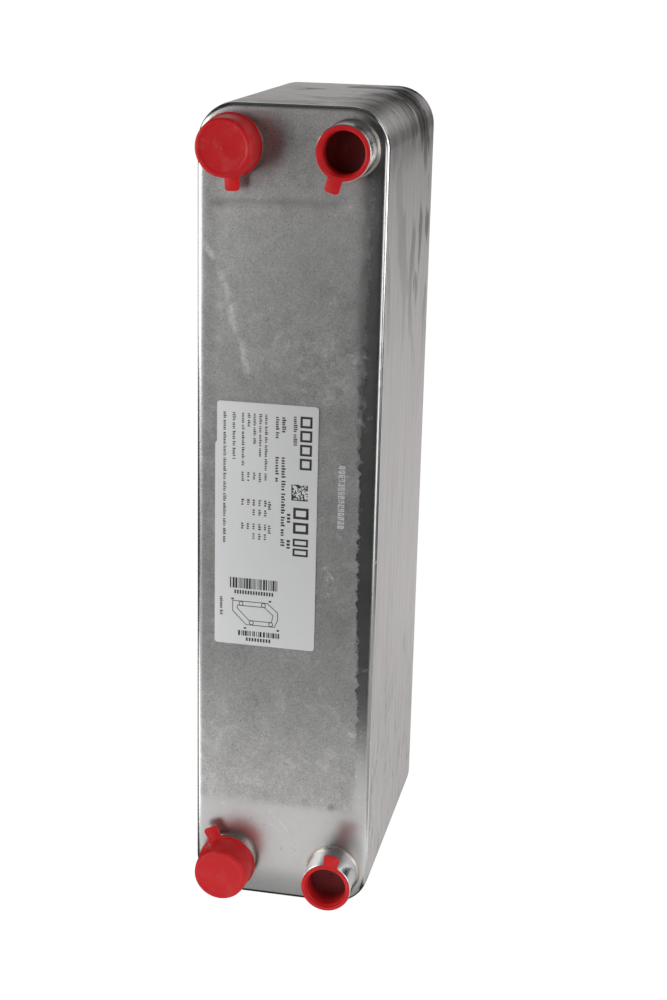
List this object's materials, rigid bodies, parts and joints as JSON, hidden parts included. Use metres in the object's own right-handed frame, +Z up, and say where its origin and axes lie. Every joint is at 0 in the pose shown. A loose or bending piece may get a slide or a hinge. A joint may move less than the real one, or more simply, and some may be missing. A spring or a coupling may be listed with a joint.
{
  "type": "brazed plate heat exchanger",
  "caption": "Tall brazed plate heat exchanger with nested stainless plates between two cover plates and four capped front ports.",
  "frame": {"origin": "middle of the base, halfway along the whole depth including the caps", "axes": "+Z up, -Y out of the four ports, +X to the right when facing the ports"},
  "size_m": [0.119, 0.1926, 0.529],
  "materials": {
    "cover_steel": "satin, furnace-dulled, with fine mottled grain",
    "plate_steel": "satin sheet",
    "port_steel": "turned and polished",
    "copper": "dull copper braze; brass stands in for copper",
    "red_plastic": "soft semi-matte polyethylene",
    "label": "matte film"
  },
  "bodies": {
    "pack": {"front_cover_plate": "cover_steel", "front_seal_plate": "plate_steel", "front_spacer_rings": "plate_steel", "channel_plates_odd": "plate_steel", "channel_plates_even": "plate_steel", "rear_seal_plate": "plate_steel", "rear_support_discs": "plate_steel", "rear_cover_plate": "cover_steel", "top_left_port": "port_steel", "bottom_left_port": "port_steel", "top_right_port": "port_steel", "bottom_right_port": "port_steel", "top_left_braze_ring": "copper", "bottom_left_braze_ring": "copper", "top_right_braze_ring": "copper", "bottom_right_braze_ring": "copper", "type_label": "label", "under_label": "label"},
    "top_left_cap": {"top_left_cap": "red_plastic"},
    "bottom_left_cap": {"bottom_left_cap": "red_plastic"},
    "top_right_plug": {"top_right_plug": "red_plastic"},
    "bottom_right_plug": {"bottom_right_plug": "red_plastic"}
  },
  "joints": [
    {"name": "top_left_cap_pull", "type": "slide", "parent": "pack", "child": "top_left_cap", "axis": [0, -1, 0], "range_m": [0, 0.12]},
    {"name": "bottom_left_cap_pull", "type": "slide", "parent": "pack", "child": "bottom_left_cap", "axis": [0, -1, 0], "range_m": [0, 0.12]},
    {"name": "top_right_plug_pull", "type": "slide", "parent": "pack", "child": "top_right_plug", "axis": [0, -1, 0], "range_m": [0, 0.12]},
    {"name": "bottom_right_plug_pull", "type": "slide", "parent": "pack", "child": "bottom_right_plug", "axis": [0, -1, 0], "range_m": [0, 0.12]}
  ]
}
